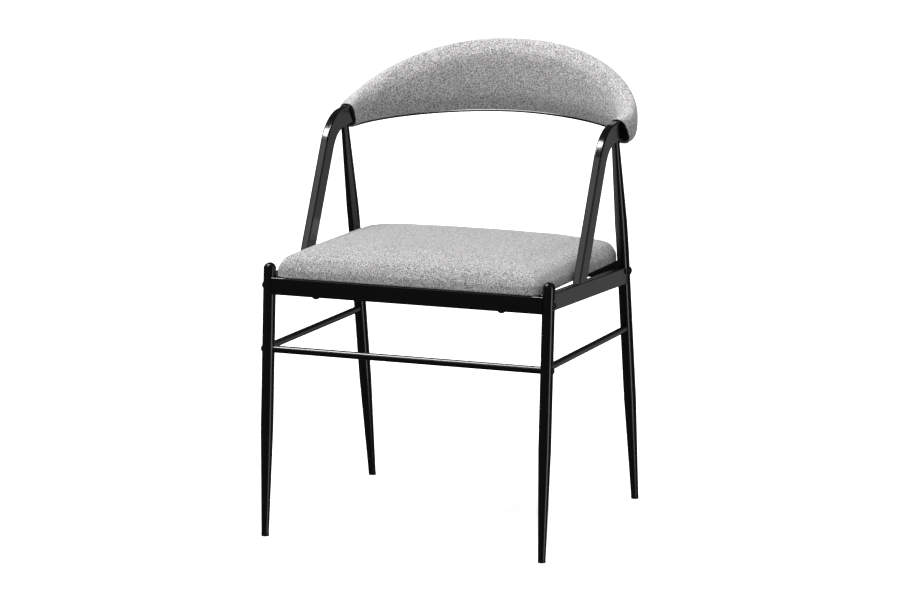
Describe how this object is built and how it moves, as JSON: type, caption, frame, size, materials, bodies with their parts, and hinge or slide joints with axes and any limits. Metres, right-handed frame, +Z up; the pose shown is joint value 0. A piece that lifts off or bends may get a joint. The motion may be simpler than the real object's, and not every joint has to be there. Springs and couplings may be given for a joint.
{
  "type": "dining chair",
  "caption": "Dining chair with a tapered tubular steel frame, rising flat arms, a padded seat cushion and a curved padded backrest sleeved over the arms.",
  "frame": {"origin": "on the floor, under the middle of the chair's overall box", "axes": "+Z up, the chair faces -Y, +X towards the sitter's left"},
  "size_m": [0.5432, 0.59, 0.8034],
  "materials": {
    "backrest_fabric": "woven heather",
    "black_plastic": "satin",
    "black_steel": "satin powder coat",
    "bolt_steel": "satin blackened bolt",
    "foam": "open-cell foam",
    "glide_plastic": "matte",
    "lining": "non-woven lining",
    "plywood": "unfinished plywood",
    "seat_fabric": "woven heather",
    "zinc_steel": "zinc plated"
  },
  "bodies": {
    "root": {"arm_left": "black_steel", "arm_right": "black_steel", "backrest_board": "plywood", "backrest_collar_left": "black_plastic", "backrest_collar_right": "black_plastic", "backrest_cover": "backrest_fabric", "backrest_foam": "foam", "backrest_screws": "bolt_steel", "backrest_spigot_left": "zinc_steel", "backrest_spigot_right": "zinc_steel", "backrest_trim": "lining", "front_glide_left": "glide_plastic", "front_glide_right": "glide_plastic", "front_leg_cap_left": "black_plastic", "front_leg_cap_right": "black_plastic", "front_leg_left": "black_steel", "front_leg_right": "black_steel", "front_rail": "black_steel", "front_rail_bolts": "bolt_steel", "front_rail_inserts": "zinc_steel", "front_stretcher": "black_steel", "rear_glide_left": "glide_plastic", "rear_glide_right": "glide_plastic", "rear_leg_left": "black_steel", "rear_leg_right": "black_steel", "rear_rail": "black_steel", "rear_rail_bolts": "bolt_steel", "rear_rail_inserts": "zinc_steel", "seat_board": "plywood", "seat_cover": "seat_fabric", "seat_dust_cover": "lining", "seat_foam": "foam", "seat_screws": "bolt_steel", "side_rail_left": "black_steel", "side_rail_right": "black_steel", "side_stretcher_left": "black_steel", "side_stretcher_right": "black_steel", "stretcher_bolts": "bolt_steel", "stretcher_inserts": "zinc_steel"}
  },
  "joints": []
}
